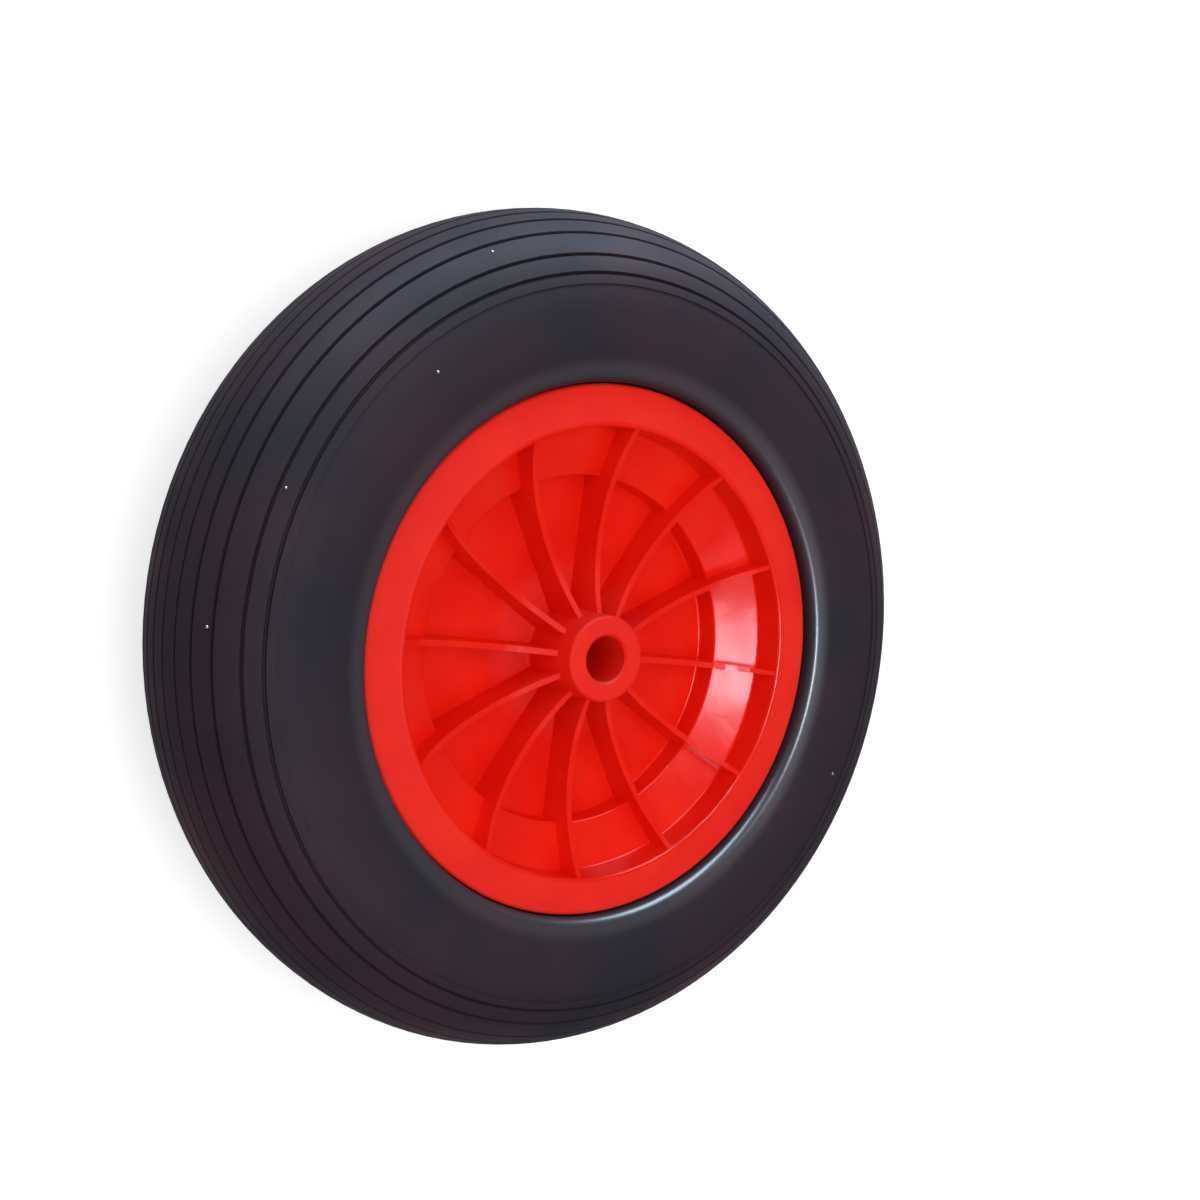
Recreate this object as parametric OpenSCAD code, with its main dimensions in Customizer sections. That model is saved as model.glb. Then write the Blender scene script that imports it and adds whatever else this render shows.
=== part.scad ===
// Flat-free wheel for a wheelbarrow: a foam tyre on a moulded rim with ribs and a plain bore.
// The wheel lies on its side. Z is its axle, and the origin is its centre. Millimetres.

/* [Tyre] */
// Outside diameter of the tyre, over the tread
tyre_d = 400; // [392:1:410]
// Width of the tyre across its sidewalls
tyre_w = 96; // [88:1:104]
// Radius of the crown, measured across the tread
crown_r = 70; // [60:1:90]
// Width of the crown, up to where the shoulders start
crown_w = 15.2; // [12:0.4:24]
// Breadth of the flat ring at the widest place of the sidewall
side_flat = 5; // [3:0.5:8]
// Radius of the roll of foam beside the rim
roll_r = 5; // [3:0.5:8]
// Height of the roll's middle over the outer edge of the flange
roll_rise = 1.5; // [0:0.25:4]

/* [Tread] */
// Distance between grooves, along the axle
groove_pitch = 7.5; // [6:0.1:9]
// Least distance from these grooves to the widest place of the sidewall, along the axle
groove_margin = 6.5; // [6:0.5:12]
// Width of a groove at the surface
groove_w = 1.7; // [1:0.1:2.5]
// Width of a groove at its bottom
groove_floor_w = 0.7; // [0.4:0.1:0.9]
// Depth of a groove
groove_depth = 1.6; // [0.8:0.1:2.5]
// Breadth of the plain rib outside the last groove
last_rib_w = 8.5; // [5:0.5:9]
// Breadth of the narrow rib at the edge of the tread
edge_rib_w = 4.6; // [3:0.2:5]
// Height of the tread over the sidewall
tread_step = 0.6; // [0.3:0.1:1]

/* [Rim] */
// Diameter of the dish at its mouth, inside the flange
mouth_d = 212; // [200:1:220]
// Breadth of the flange, from the mouth of the dish to its outer edge
flange_w = 18.5; // [14:0.5:22]
// Depth of the flange's inner edge below the widest place of the tyre's sidewall
rim_inset = 7.75; // [7:0.25:12]
// Fall of the flange from its inner edge to its outer edge
flange_fall = 1.5; // [1:0.5:4]
// Thickness of the flange at its outer edge
flange_t = 4; // [3:0.5:5]
// Thickness of the moulded wall
wall = 5; // [4:0.25:6]
// Depth of the upright wall of the dish
dish_depth = 16; // [12:0.5:19]
// Breadth of the sloping ledge, from the upright wall in to its inner edge
ledge_w = 22; // [14:0.5:30]
// Fall of the ledge, from the upright wall in to its inner edge
ledge_fall = 9.5; // [5:0.5:10]
// Thickness of the web between the two dishes
web_t = 6; // [4:0.5:8]
// Slope of the moulded walls, in degrees, so that the rim leaves its mould
draft = 1; // [0.5:0.25:2]

/* [Ribs] */
// Number of ribs in each dish
rib_count = 12; // [8:1:16]
// Thickness of a rib at the middle of the web
rib_t = 3.4; // [2.8:0.1:4.2]
// Thickness of a rib at the height of the flange
rib_edge_t = 2.3; // [1.6:0.1:2.7]
// Radius of the hollow curve along the edge of a rib
rib_curve_r = 80; // [60:5:160]
// Depth of a rib's outer end below the inner edge of the flange
rib_lip_drop = 1.2; // [0.6:0.2:3]
// Depth of a rib's inner end below the face of the hub
rib_hub_drop = 10.5; // [6:0.5:14]

/* [Hub] */
// Length of the hub, from face to face
hub_len = 76; // [72:1:84]
// Diameter of the hub at its faces
hub_d = 41; // [36:0.5:46]
// Diameter of the bore, for the axle
bore_d = 22; // [18:0.5:24]
// Chamfer at each end of the bore
bore_chamfer = 1; // [0.4:0.2:1.6]

/* [Fits] */
// Gap between the tyre's beads and the rim that they are pressed on
seat_gap = 0.2; // [0.1:0.05:0.3]
// Open gap beside the outer edge of the flange
flange_gap = 0.8; // [0.5:0.1:1.2]

/* [Hidden] */

// Segments of a full turn, and of each rounded corner
turn_steps = 180;
corner_steps = 5;
// Longest step along the tyre's section
section_step = 2.5;

// Rounding of the rim's corners
flange_round = 1.8;
lip_round = 1.4;
edge_round = 1.2;
root_round = 1.5;
hub_round = 1.5;
well_round = 2.5;

// Heights above the middle plane of the wheel
side_z = tyre_w / 2;
lip_z = side_z - rim_inset;
flange_z = lip_z - flange_fall;
seat_z = flange_z - flange_t;
ledge_top_z = lip_z - dish_depth;
ledge_low_z = ledge_top_z - ledge_fall;
web_z = web_t / 2;
hub_z = hub_len / 2;

// Distances from the axle
mouth_r = mouth_d / 2;
flange_r = mouth_r + flange_w;
dish_r = mouth_r - dish_depth * tan(draft);
ledge_r = dish_r - ledge_w;
floor_r = ledge_r - (ledge_low_z - web_z) * tan(draft);
seat_r = mouth_r + wall;
well_r = ledge_r + wall;
hub_r = hub_d / 2;
hub_root_r = hub_r + (hub_z - web_z) * tan(draft);
bore_r = bore_d / 2;

// Slope of the ledge, and the height of a surface that lies a given depth under it
ledge_slope = atan(ledge_fall / ledge_w);
function under_ledge(r, depth) = ledge_low_z + (r - ledge_r) * tan(ledge_slope) - depth / cos(ledge_slope);

// Tyre section: the crown and the shoulder are two arcs that meet smoothly
base_r = tyre_d / 2 - tread_step;
crown_angle = asin(crown_w / 2 / crown_r);
shoulder_r = (side_z - crown_w / 2) / (1 - sin(crown_angle));
crown_len = crown_r * crown_angle * PI / 180;
shoulder_axis_r = base_r - crown_r + (crown_r - shoulder_r) * cos(crown_angle);
shoulder_axis_z = side_z - shoulder_r;
section_len = crown_len + shoulder_r * (90 - crown_angle) * PI / 180;

// Point of the section at a distance from the middle of the crown, and at a height over the base surface
function on_arc(axis, r, angle) = axis + r * [cos(angle), sin(angle)];
function on_section(s, height) =
    s < crown_len
    ? on_arc([base_r - crown_r, 0], crown_r + height, s / crown_r * 180 / PI)
    : on_arc([shoulder_axis_r, shoulder_axis_z], shoulder_r + height,
        crown_angle + (s - crown_len) / shoulder_r * 180 / PI);

// Distance along the section to a place that is z away from the middle plane
function along_section(z) =
    z < crown_w / 2
    ? crown_r * asin(z / crown_r) * PI / 180
    : crown_len + shoulder_r * (asin((z - shoulder_axis_z) / shoulder_r) - crown_angle) * PI / 180;

// Middles of the grooves, the last of which marks off the narrow rib at the tread's edge
groove_count = floor((side_z - groove_margin) / groove_pitch + 0.5);
last_groove = along_section((groove_count - 0.5) * groove_pitch);
edge_groove = last_groove + last_rib_w;
grooves = [for (k = [1 : groove_count]) along_section((k - 0.5) * groove_pitch), edge_groove];
tread_end = edge_groove + edge_rib_w;

// Evenly spaced points of the section between two distances, at one height
function stretch(from, to, height) =
    let (steps = ceil((to - from) / section_step))
    [for (i = [0 : steps]) on_section(from + (to - from) * i / steps, height)];

// One groove: its floor is narrower than its mouth
function groove(s) = [for (side = [-1, 1])
    on_section(s + side * groove_floor_w / 2, tread_step - groove_depth)];

// Tread from the middle of the crown to its edge, groove by groove
function tread() = [for (k = [0 : len(grooves)])
    let (from = k == 0 ? 0 : grooves[k - 1] + groove_w / 2)
    let (to = k == len(grooves) ? tread_end : grooves[k] - groove_w / 2)
    each concat(stretch(from, to, tread_step), k == len(grooves) ? [] : groove(grooves[k]))];

// Sidewall: an arc runs smoothly from the flat ring into the roll beside the flange
flat_in_r = shoulder_axis_r - side_flat;
roll_axis_r = flange_r + flange_gap + roll_r;
roll_axis_z = flange_z + roll_rise;
side_run = flat_in_r - roll_axis_r;
side_fall = side_z - roll_axis_z;
side_r = (pow(side_run, 2) + pow(side_fall, 2) - pow(roll_r, 2)) / (2 * (side_fall - roll_r));
roll_angle = asin(side_run / (side_r - roll_r));
side_steps = 10;
function sidewall() = concat(
    [for (i = [0 : side_steps])
        on_arc([flat_in_r, side_z - side_r], side_r, 90 + roll_angle * i / side_steps)],
    [for (i = [1 : side_steps])
        on_arc([roll_axis_r, roll_axis_z], roll_r, 90 + roll_angle + (90 - roll_angle) * i / side_steps)]);

// Rounds the corners of an outline. Each entry is [r, z, radius], and a radius of 0 leaves it sharp.
function unit(v) = v / norm(v);
function xy(p) = [p[0], p[1]];
function corner(before, at, after, radius) =
    let (a = unit(before - at), b = unit(after - at))
    let (half = acos(a * b) / 2)
    let (centre = at + unit(a + b) * radius / sin(half))
    let (start = at + a * radius / tan(half) - centre, end = at + b * radius / tan(half) - centre)
    let (from = atan2(start[1], start[0]), raw = atan2(end[1], end[0]) - from)
    let (turn = raw > 180 ? raw - 360 : raw < -180 ? raw + 360 : raw)
    [for (i = [0 : corner_steps]) on_arc(centre, radius, from + turn * i / corner_steps)];
function rounded(path) = [for (i = [0 : len(path) - 1])
    each path[i][2] == 0 || i == 0 || i == len(path) - 1
        ? [xy(path[i])]
        : corner(xy(path[i - 1]), xy(path[i]), xy(path[i + 1]), path[i][2])];

// Adds the mirror image of a half outline, below the middle plane
function both_sides(half) = concat(half,
    [for (i = [len(half) - 1 : -1 : 0]) if (half[i][1] > 0) [half[i][0], -half[i][1]]]);

// Inside of the tyre: it follows the rim's channel, a seat gap away from it
function bead() =
    let (inner_r = seat_r + seat_gap, well_bottom_r = well_r + seat_gap)
    rounded([
        [flange_r + flange_gap, roll_axis_z, 0],
        [flange_r + flange_gap, seat_z - seat_gap, edge_round],
        [inner_r, seat_z - seat_gap, root_round - seat_gap],
        [inner_r, under_ledge(inner_r, wall + seat_gap), edge_round + seat_gap],
        [well_bottom_r, under_ledge(well_bottom_r, wall + seat_gap), well_round - seat_gap],
        [well_bottom_r, 0, 0]]);

// Section of the rim, from the bore out to the flange and back in to the bottom of the channel
function rim_half() = rounded([
    [bore_r, 0, 0],
    [bore_r, hub_z - bore_chamfer, 0],
    [bore_r + bore_chamfer, hub_z, 0],
    [hub_r, hub_z, hub_round],
    [hub_root_r, web_z, root_round],
    [floor_r, web_z, root_round],
    [ledge_r, ledge_low_z, edge_round],
    [dish_r, ledge_top_z, root_round],
    [mouth_r, lip_z, lip_round],
    [flange_r, flange_z, flange_round],
    [flange_r, seat_z, edge_round],
    [seat_r, seat_z, root_round],
    [seat_r, under_ledge(seat_r, wall), edge_round],
    [well_r, under_ledge(well_r, wall), well_round],
    [well_r, 0, 0]]);

module revolved(half) {
    rotate_extrude($fn = turn_steps, convexity = 10)
        polygon(both_sides(half));
}

// Edge of a rib: a hollow curve from the side of the hub up to the mouth of the dish
rib_in = [hub_r, hub_z - rib_hub_drop];
rib_out = [mouth_r, lip_z - rib_lip_drop];
rib_chord = rib_out - rib_in;
rib_curve_rise = sqrt(pow(rib_curve_r, 2) - pow(norm(rib_chord) / 2, 2));
rib_curve_axis = (rib_in + rib_out) / 2 + rib_curve_rise * unit([-rib_chord[1], rib_chord[0]]);
rib_steps = 14;
function rib_edge() =
    let (from = atan2(rib_in[1] - rib_curve_axis[1], rib_in[0] - rib_curve_axis[0]))
    let (to = atan2(rib_out[1] - rib_curve_axis[1], rib_out[0] - rib_curve_axis[0]))
    [for (i = [0 : rib_steps]) on_arc(rib_curve_axis, rib_curve_r, from + (to - from) * i / rib_steps)];

// The space that the ribs fill, which ends in the middle of the walls around it
bite = wall / 2;
function rib_space() = concat(
    [[hub_r - bite, rib_in[1]]],
    rib_edge(),
    [[mouth_r + bite, rib_out[1]],
     [mouth_r + bite, under_ledge(mouth_r + bite, bite)],
     [ledge_r + bite, under_ledge(ledge_r + bite, bite)]]);

// One rib before its edge is cut: thickest at the web and thinner towards both flanges
module rib_blank() {
    rotate([90, 0, 90])
        linear_extrude(height = mouth_r + wall)
            polygon([
                [-rib_t / 2, 0], [-rib_edge_t / 2, lip_z], [rib_edge_t / 2, lip_z],
                [rib_t / 2, 0], [rib_edge_t / 2, -lip_z], [-rib_edge_t / 2, -lip_z]]);
}

module ribs() {
    intersection() {
        union() {
            for (k = [0 : rib_count - 1])
                rotate([0, 0, k * 360 / rib_count])
                    rib_blank();
        }
        revolved(rib_space());
    }
}

module tyre() {
    color([0.16, 0.16, 0.18])
        revolved(concat(tread(), stretch(tread_end, section_len, 0), sidewall(), bead()));
}

module rim() {
    color([0.86, 0.10, 0.07])
        union() {
            revolved(rim_half());
            ribs();
        }
}

tyre();
rim();
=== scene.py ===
"""Looks, light and camera for a wheelbarrow wheel: a foam tyre on a red moulded rim, lying on its side."""

import math

import bmesh
import bpy
from mathutils import Matrix, Vector


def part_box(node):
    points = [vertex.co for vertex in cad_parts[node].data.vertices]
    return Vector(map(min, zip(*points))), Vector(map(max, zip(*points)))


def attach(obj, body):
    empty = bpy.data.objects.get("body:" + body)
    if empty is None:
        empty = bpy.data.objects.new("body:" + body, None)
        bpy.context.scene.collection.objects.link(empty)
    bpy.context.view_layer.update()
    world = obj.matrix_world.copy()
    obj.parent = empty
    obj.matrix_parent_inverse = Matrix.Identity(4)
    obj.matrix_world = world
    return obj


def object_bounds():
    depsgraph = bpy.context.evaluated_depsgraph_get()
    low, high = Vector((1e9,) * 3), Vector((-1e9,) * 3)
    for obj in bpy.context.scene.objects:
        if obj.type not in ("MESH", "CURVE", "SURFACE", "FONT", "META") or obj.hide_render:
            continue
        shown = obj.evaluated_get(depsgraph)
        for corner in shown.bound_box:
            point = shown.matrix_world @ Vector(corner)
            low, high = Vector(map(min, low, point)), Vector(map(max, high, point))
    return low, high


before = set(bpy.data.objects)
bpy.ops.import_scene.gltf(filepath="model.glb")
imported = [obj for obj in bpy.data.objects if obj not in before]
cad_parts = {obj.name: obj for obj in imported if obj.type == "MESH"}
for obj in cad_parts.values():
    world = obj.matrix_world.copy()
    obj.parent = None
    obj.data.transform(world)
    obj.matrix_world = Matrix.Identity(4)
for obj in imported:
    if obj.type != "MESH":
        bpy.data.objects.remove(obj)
cad_low, cad_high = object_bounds()

# Sizes in metres, read from the frame apart from the last four
TYRE_LOW, TYRE_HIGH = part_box("tyre")
RIM_LOW, RIM_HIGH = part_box("rim")
TYRE_R = (TYRE_HIGH.x - TYRE_LOW.x) / 2
FLANGE_R = (RIM_HIGH.x - RIM_LOW.x) / 2
SECTION_R = 0.154
MOUTH_R = 0.106
HUB_R = 0.0205
NIB_R = 0.0008

# Camera: where it stands, the point it is aimed at, and its turn about the line of sight
CAMERA_AT = Vector((-0.3972, 0.0501, 0.5911))
CAMERA_AIM = Vector((0.0842, -0.0831, 0.0))
CAMERA_ROLL = math.radians(109.93)
CAMERA_LENS = 43.27
CAMERA_SHIFT = (-0.0614, 0.1785)

# Colours are linear
RED = (0.89, 0.020, 0.007, 1)
RED_DEEP = (0.84, 0.013, 0.005, 1)
RUBBER_BROWN = (0.031, 0.015, 0.022, 1)
RUBBER_BLUE = (0.016, 0.014, 0.020, 1)
# The nibs are the tyre's rubber; their lighter grey is a painted glint standing in for the light they catch
NIB_PAINTED_GLINT = (0.10, 0.10, 0.11, 1)
WHITE = (1, 1, 1, 1)

# Small nibs on the tyre: the angle round the axle, and the angle across the tyre's section, in degrees
NIBS = ((161.2, 63.3), (180.2, 43.0), (117.0, 50.4), (134.4, 88.2), (-18.5, 85.2))


def new_node(tree, kind, at=(0, 0), **values):
    """A shader node with its properties and its unlinked inputs set by name."""
    node = tree.nodes.new(kind)
    node.location = at
    for name, value in values.items():
        socket = node.inputs.get(name.replace("_", " "))
        if socket is not None:
            socket.default_value = value
        else:
            setattr(node, name, value)
    return node


def moulded_skin():
    """Uneven skin of a moulded surface: broad patches, fine grain, and a height for bump."""
    tree = bpy.data.node_groups.new("moulded_skin", "ShaderNodeTree")
    for name, start in (("Patch Scale", 12.0), ("Grain Scale", 700.0), ("Patch Height", 0.5)):
        socket = tree.interface.new_socket(name, in_out="INPUT", socket_type="NodeSocketFloat")
        socket.default_value = start
    for name in ("Patches", "Grain", "Height"):
        tree.interface.new_socket(name, in_out="OUTPUT", socket_type="NodeSocketFloat")
    inside = new_node(tree, "NodeGroupInput", (-900, 0))
    outside = new_node(tree, "NodeGroupOutput", (500, 0))
    place = new_node(tree, "ShaderNodeTexCoord", (-900, 300))
    patches = new_node(tree, "ShaderNodeTexNoise", (-500, 200), Detail=1.5, Roughness=0.5)
    grain = new_node(tree, "ShaderNodeTexNoise", (-500, -150), Detail=2.0, Roughness=0.6)
    height = new_node(tree, "ShaderNodeMath", (100, -100), operation="MULTIPLY_ADD")
    tree.links.new(place.outputs["Object"], patches.inputs["Vector"])
    tree.links.new(place.outputs["Object"], grain.inputs["Vector"])
    tree.links.new(inside.outputs["Patch Scale"], patches.inputs["Scale"])
    tree.links.new(inside.outputs["Grain Scale"], grain.inputs["Scale"])
    tree.links.new(patches.outputs["Fac"], height.inputs[0])
    tree.links.new(inside.outputs["Patch Height"], height.inputs[1])
    tree.links.new(grain.outputs["Fac"], height.inputs[2])
    tree.links.new(patches.outputs["Fac"], outside.inputs["Patches"])
    tree.links.new(grain.outputs["Fac"], outside.inputs["Grain"])
    tree.links.new(height.outputs[0], outside.inputs["Height"])
    return tree


SKIN = moulded_skin()


def new_material(name):
    """An empty node material with its shader and output."""
    material = bpy.data.materials.new(name)
    material.use_nodes = True
    tree = material.node_tree
    tree.nodes.clear()
    output = new_node(tree, "ShaderNodeOutputMaterial", (900, 0))
    return material, tree, output


def turned_mask():
    """Masks that follow the wheel's own form: distance from the axle, and height from its middle plane."""
    tree = bpy.data.node_groups.new("turned_mask", "ShaderNodeTree")
    for name in ("Radius Start", "Radius End", "Height Start", "Height End"):
        tree.interface.new_socket(name, in_out="INPUT", socket_type="NodeSocketFloat")
    for name in ("Far Out", "High Up"):
        tree.interface.new_socket(name, in_out="OUTPUT", socket_type="NodeSocketFloat")
    inside = new_node(tree, "NodeGroupInput", (-700, -200))
    outside = new_node(tree, "NodeGroupOutput", (500, 0))
    place = new_node(tree, "ShaderNodeTexCoord", (-900, 200))
    split = new_node(tree, "ShaderNodeSeparateXYZ", (-700, 200))
    flat = new_node(tree, "ShaderNodeCombineXYZ", (-500, 250))
    radius = new_node(tree, "ShaderNodeVectorMath", (-300, 250), operation="LENGTH")
    height = new_node(tree, "ShaderNodeMath", (-300, 50), operation="ABSOLUTE")
    far = new_node(tree, "ShaderNodeMapRange", (0, 200), interpolation_type="SMOOTHSTEP")
    high = new_node(tree, "ShaderNodeMapRange", (0, -100), interpolation_type="SMOOTHSTEP")
    tree.links.new(place.outputs["Object"], split.inputs[0])
    tree.links.new(split.outputs["X"], flat.inputs["X"])
    tree.links.new(split.outputs["Y"], flat.inputs["Y"])
    tree.links.new(flat.outputs[0], radius.inputs[0])
    tree.links.new(split.outputs["Z"], height.inputs[0])
    tree.links.new(radius.outputs["Value"], far.inputs["Value"])
    tree.links.new(height.outputs[0], high.inputs["Value"])
    tree.links.new(inside.outputs["Radius Start"], far.inputs["From Min"])
    tree.links.new(inside.outputs["Radius End"], far.inputs["From Max"])
    tree.links.new(inside.outputs["Height Start"], high.inputs["From Min"])
    tree.links.new(inside.outputs["Height End"], high.inputs["From Max"])
    tree.links.new(far.outputs["Result"], outside.inputs["Far Out"])
    tree.links.new(high.outputs["Result"], outside.inputs["High Up"])
    return tree


MASK = turned_mask()


def matt_where(tree, shader, mask, start, end, added):
    """Makes the finish rougher by a set amount where one of the wheel's masks says so."""
    before = shader.inputs["Roughness"].links[0].from_socket
    form = new_node(tree, "ShaderNodeGroup", (-500, -400), node_tree=MASK)
    word = "Radius" if mask == "Far Out" else "Height"
    form.inputs[word + " Start"].default_value = start
    form.inputs[word + " End"].default_value = end
    more = new_node(tree, "ShaderNodeMath", (300, -50), operation="MULTIPLY_ADD")
    more.inputs[1].default_value = added
    tree.links.new(form.outputs[mask], more.inputs[0])
    tree.links.new(before, more.inputs[2])
    tree.links.new(more.outputs[0], shader.inputs["Roughness"])


def coat_beside_rim(tree, shader, start, end, weight):
    """Lays a glossier skin on the roll of foam beside the rim, which fades out between two radii."""
    form = new_node(tree, "ShaderNodeGroup", (-500, -700), node_tree=MASK)
    form.inputs["Radius Start"].default_value = end
    form.inputs["Radius End"].default_value = start
    amount = new_node(tree, "ShaderNodeMath", (300, -700), operation="MULTIPLY")
    amount.inputs[1].default_value = weight
    shader.inputs["Coat Roughness"].default_value = 0.30
    shader.inputs["Coat IOR"].default_value = 1.45
    tree.links.new(form.outputs["Far Out"], amount.inputs[0])
    tree.links.new(amount.outputs[0], shader.inputs["Coat Weight"])


def skinned(name, colours, roughness, patch_scale, grain_scale, patch_height, bump, bump_depth):
    """A Principled material whose colour, roughness and bump follow the moulded skin."""
    material, tree, output = new_material(name)
    shader = new_node(tree, "ShaderNodeBsdfPrincipled", (600, 0))
    skin = new_node(tree, "ShaderNodeGroup", (-500, 0), node_tree=SKIN)
    skin.inputs["Patch Scale"].default_value = patch_scale
    skin.inputs["Grain Scale"].default_value = grain_scale
    skin.inputs["Patch Height"].default_value = patch_height
    ramp = new_node(tree, "ShaderNodeValToRGB", (0, 200))
    ramp.color_ramp.elements[0].position = 0.35
    ramp.color_ramp.elements[1].position = 0.70
    ramp.color_ramp.elements[0].color = colours[0]
    ramp.color_ramp.elements[1].color = colours[1]
    rough = new_node(tree, "ShaderNodeMapRange", (0, -100))
    rough.inputs["From Min"].default_value = 0.3
    rough.inputs["From Max"].default_value = 0.7
    rough.inputs["To Min"].default_value = roughness[0]
    rough.inputs["To Max"].default_value = roughness[1]
    relief = new_node(tree, "ShaderNodeBump", (300, -250), Strength=bump, Distance=bump_depth)
    tree.links.new(skin.outputs["Patches"], ramp.inputs["Fac"])
    tree.links.new(skin.outputs["Patches"], rough.inputs["Value"])
    tree.links.new(skin.outputs["Height"], relief.inputs["Height"])
    tree.links.new(ramp.outputs["Color"], shader.inputs["Base Color"])
    tree.links.new(rough.outputs["Result"], shader.inputs["Roughness"])
    tree.links.new(relief.outputs["Normal"], shader.inputs["Normal"])
    tree.links.new(shader.outputs["BSDF"], output.inputs["Surface"])
    return material, shader


def foam_rubber():
    material, shader = skinned(
        "foam_rubber", (RUBBER_BROWN, RUBBER_BLUE), (0.60, 0.72),
        patch_scale=18, grain_scale=900, patch_height=0.6, bump=0.20, bump_depth=0.0002)
    shader.inputs["Specular IOR Level"].default_value = 0.028
    coat_beside_rim(material.node_tree, shader, FLANGE_R + 0.006, FLANGE_R + 0.012, 0.34)
    return material


def red_plastic():
    material, shader = skinned(
        "red_plastic", (RED_DEEP, RED), (0.14, 0.22),
        patch_scale=40, grain_scale=260, patch_height=7.0, bump=0.30, bump_depth=0.0002)
    shader.inputs["Specular IOR Level"].default_value = 0.032
    matt_where(material.node_tree, shader, "Far Out", MOUTH_R + 0.001, MOUTH_R + 0.003, 0.55)
    matt_where(material.node_tree, shader, "Far Out", HUB_R + 0.030, HUB_R + 0.010, 0.45)
    return material


def nib_painted_glint():
    # Rubber for the nibs, painted a lighter grey as a painted glint, with a glossier finish
    material, shader = skinned(
        "nib_painted_glint", (NIB_PAINTED_GLINT, RUBBER_BLUE), (0.16, 0.24),
        patch_scale=200, grain_scale=900, patch_height=0.5, bump=0.20, bump_depth=0.0002)
    shader.inputs["Specular IOR Level"].default_value = 0.5
    return material


def mould_nibs():
    """Tiny round nibs that the mould's vents leave on the tyre, each half sunk in its skin."""
    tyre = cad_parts["tyre"]
    mesh = bmesh.new()
    for around, across in NIBS:
        turn, lean = math.radians(around), math.radians(across)
        outward = Vector((math.cos(turn), math.sin(turn), 0))
        away = outward * math.cos(lean) + Vector((0, 0, math.sin(lean)))
        found, place, normal, face = tyre.ray_cast(outward * SECTION_R + away * TYRE_R, -away)
        bmesh.ops.create_uvsphere(
            mesh, u_segments=16, v_segments=8, radius=NIB_R, matrix=Matrix.Translation(place))
    data = bpy.data.meshes.new("mould_nibs")
    mesh.to_mesh(data)
    mesh.free()
    for face in data.polygons:
        face.use_smooth = True
    nibs = bpy.data.objects.new("mould_nibs", data)
    data.materials.append(nib_painted_glint())
    bpy.context.scene.collection.objects.link(nibs)
    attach(nibs, "root")


def dress(node, material):
    """Gives a CAD node its finish."""
    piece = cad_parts[node]
    piece.data.materials.clear()
    piece.data.materials.append(material)
    return piece


def seen_rays(tree, at):
    """One for rays from the camera, from reflections and through clear pieces; nought for plain light."""
    rays = new_node(tree, "ShaderNodeLightPath", at)
    shiny = new_node(tree, "ShaderNodeMath", (at[0] + 200, at[1]), operation="MAXIMUM")
    seen = new_node(tree, "ShaderNodeMath", (at[0] + 400, at[1]), operation="MAXIMUM")
    tree.links.new(rays.outputs["Is Camera Ray"], shiny.inputs[0])
    tree.links.new(rays.outputs["Is Glossy Ray"], shiny.inputs[1])
    tree.links.new(shiny.outputs[0], seen.inputs[0])
    tree.links.new(rays.outputs["Is Transmission Ray"], seen.inputs[1])
    return seen.outputs[0]


def white_floor():
    """Floor that is white to the eye and keeps the object's shadow. It can't be seen from below."""
    mesh = bmesh.new()
    bmesh.ops.create_grid(mesh, x_segments=1, y_segments=1, size=6.0)
    bmesh.ops.translate(mesh, verts=mesh.verts, vec=(0, 0, cad_low.z))
    data = bpy.data.meshes.new("floor")
    mesh.to_mesh(data)
    mesh.free()
    floor = bpy.data.objects.new("floor", data)
    bpy.context.scene.collection.objects.link(floor)
    material, tree, output = new_material("white_floor")
    paint = new_node(tree, "ShaderNodeBsdfDiffuse", (0, 100), Color=(0.75, 0.75, 0.75, 1))
    glow = new_node(tree, "ShaderNodeEmission", (0, -50), Color=WHITE)
    lift = new_node(tree, "ShaderNodeMath", (-200, -100), operation="MULTIPLY")
    lift.inputs[1].default_value = 0.56
    both = new_node(tree, "ShaderNodeAddShader", (200, 50))
    below = new_node(tree, "ShaderNodeNewGeometry", (200, 300))
    clear = new_node(tree, "ShaderNodeBsdfTransparent", (200, -150))
    side = new_node(tree, "ShaderNodeMixShader", (500, 50))
    tree.links.new(seen_rays(tree, (-800, -100)), lift.inputs[0])
    tree.links.new(lift.outputs[0], glow.inputs["Strength"])
    tree.links.new(paint.outputs[0], both.inputs[0])
    tree.links.new(glow.outputs[0], both.inputs[1])
    tree.links.new(below.outputs["Backfacing"], side.inputs["Fac"])
    tree.links.new(both.outputs[0], side.inputs[1])
    tree.links.new(clear.outputs[0], side.inputs[2])
    tree.links.new(side.outputs[0], output.inputs["Surface"])
    data.materials.append(material)


def make_camera():
    data = bpy.data.cameras.new("camera")
    data.lens = CAMERA_LENS
    data.sensor_width = 36
    data.shift_x, data.shift_y = CAMERA_SHIFT
    data.clip_start, data.clip_end = 0.01, 50
    camera = bpy.data.objects.new("camera", data)
    sight = (CAMERA_AIM - CAMERA_AT).to_track_quat("-Z", "Y").to_matrix()
    turn = Matrix.Rotation(CAMERA_ROLL, 3, "Z")
    camera.matrix_world = Matrix.Translation(CAMERA_AT) @ (sight @ turn).to_4x4()
    bpy.context.scene.collection.objects.link(camera)
    bpy.context.scene.camera = camera
    return (sight @ turn)


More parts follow.
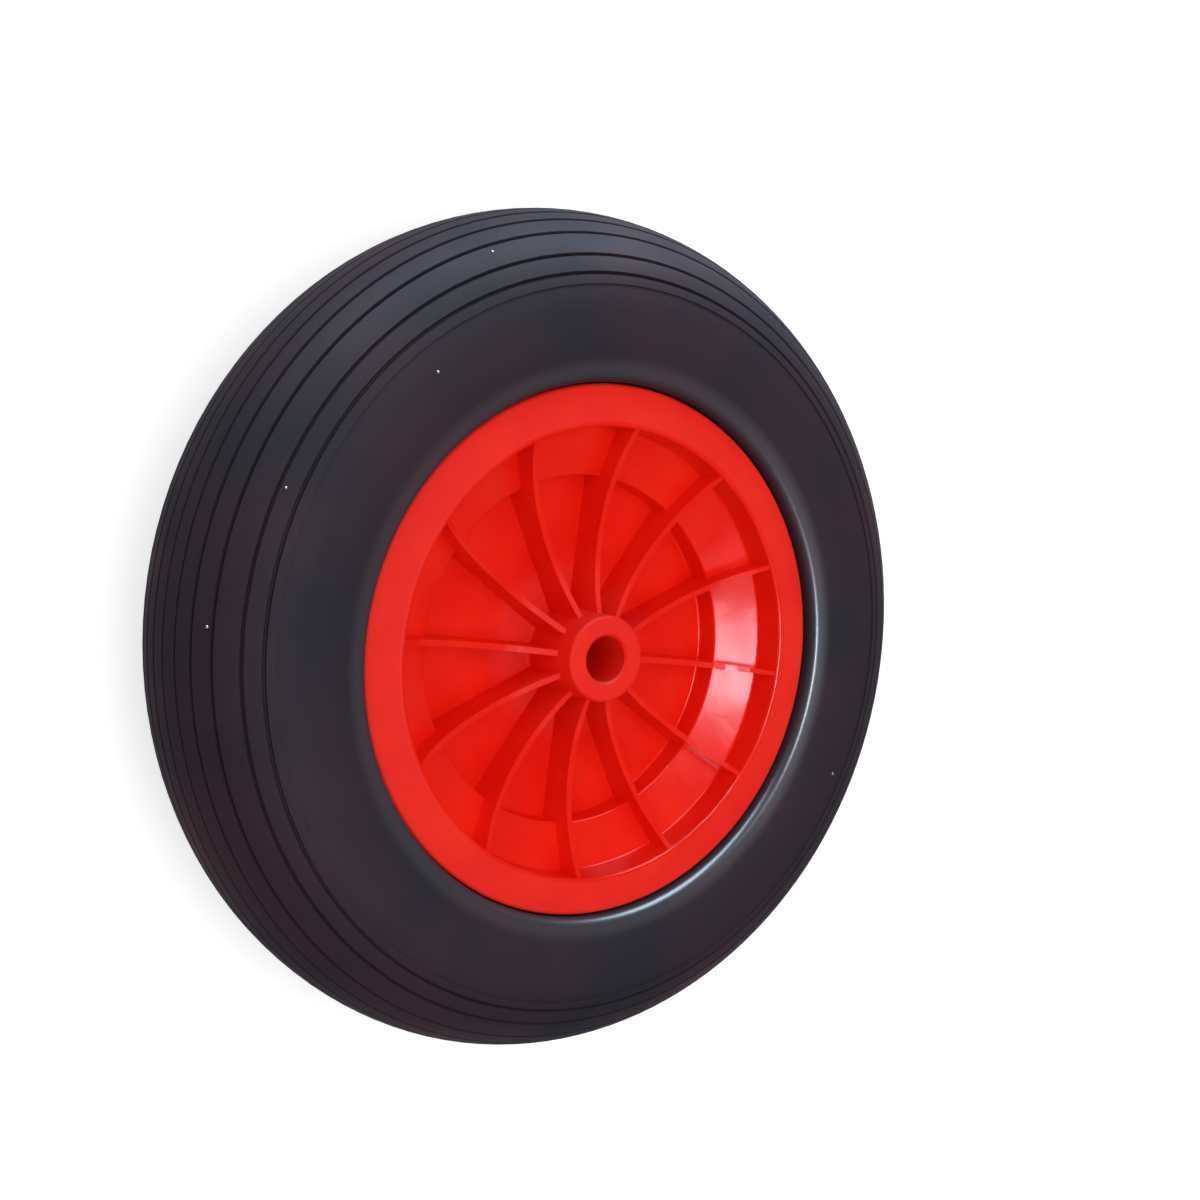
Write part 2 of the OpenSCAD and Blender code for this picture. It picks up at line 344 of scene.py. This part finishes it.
def softbox(name, axes, place, size, power, colour, lights=True, mirrored=True):
    """An area lamp that faces the wheel. Its place runs along the picture's right, up and towards the eye."""
    lamp = bpy.data.lights.new(name, "AREA")
    lamp.shape = "RECTANGLE"
    lamp.size, lamp.size_y = size
    lamp.energy = power
    lamp.color = colour
    box = bpy.data.objects.new(name, lamp)
    at = axes @ Vector(place)
    away = at.normalized()
    across = (axes @ Vector((0, 1, 0))).cross(away).normalized()
    turn = Matrix((across, away.cross(across), away)).transposed()
    box.matrix_world = Matrix.Translation(at) @ turn.to_4x4()
    box.visible_diffuse = lights
    box.visible_glossy = mirrored
    bpy.context.scene.collection.objects.link(box)


def make_world():
    """White to the eye and in reflections, and a softer grey where it only lights the wheel."""
    world = bpy.data.worlds.new("studio")
    world.use_nodes = True
    tree = world.node_tree
    tree.nodes.clear()
    output = new_node(tree, "ShaderNodeOutputWorld", (600, 0))
    back = new_node(tree, "ShaderNodeBackground", (400, 0), Color=WHITE)
    level = new_node(tree, "ShaderNodeMapRange", (200, 0))
    level.inputs["To Min"].default_value = 0.58
    level.inputs["To Max"].default_value = 1.0
    tree.links.new(seen_rays(tree, (-400, 0)), level.inputs["Value"])
    tree.links.new(level.outputs["Result"], back.inputs["Strength"])
    tree.links.new(back.outputs["Background"], output.inputs["Surface"])
    bpy.context.scene.world = world


bpy.context.scene.view_settings.view_transform = "Standard"
picture_axes = make_camera()
make_world()
softbox("window", picture_axes, (1.02, -0.57, 1.59), (0.26, 0.66), 140, (0.76, 0.87, 1.0), lights=False)
softbox("curtain", picture_axes, (1.08, -0.55, 1.66), (0.8, 2.6), 74, (0.84, 0.88, 1.0), lights=False)
softbox("sky", picture_axes, (0.1, 1.3, 0.5), (2.2, 1.1), 560, (0.60, 0.82, 1.0), lights=False)
softbox("day", picture_axes, (1.1, -0.3, 1.2), (1.2, 1.2), 7, (1.0, 0.95, 0.97), mirrored=False)
softbox("fill", picture_axes, (0.1, 0.15, 1.9), (2.4, 2.4), 9.5, (1.0, 0.97, 0.94), mirrored=False)
white_floor()
dress("tyre", foam_rubber())
dress("rim", red_plastic())
mould_nibs()
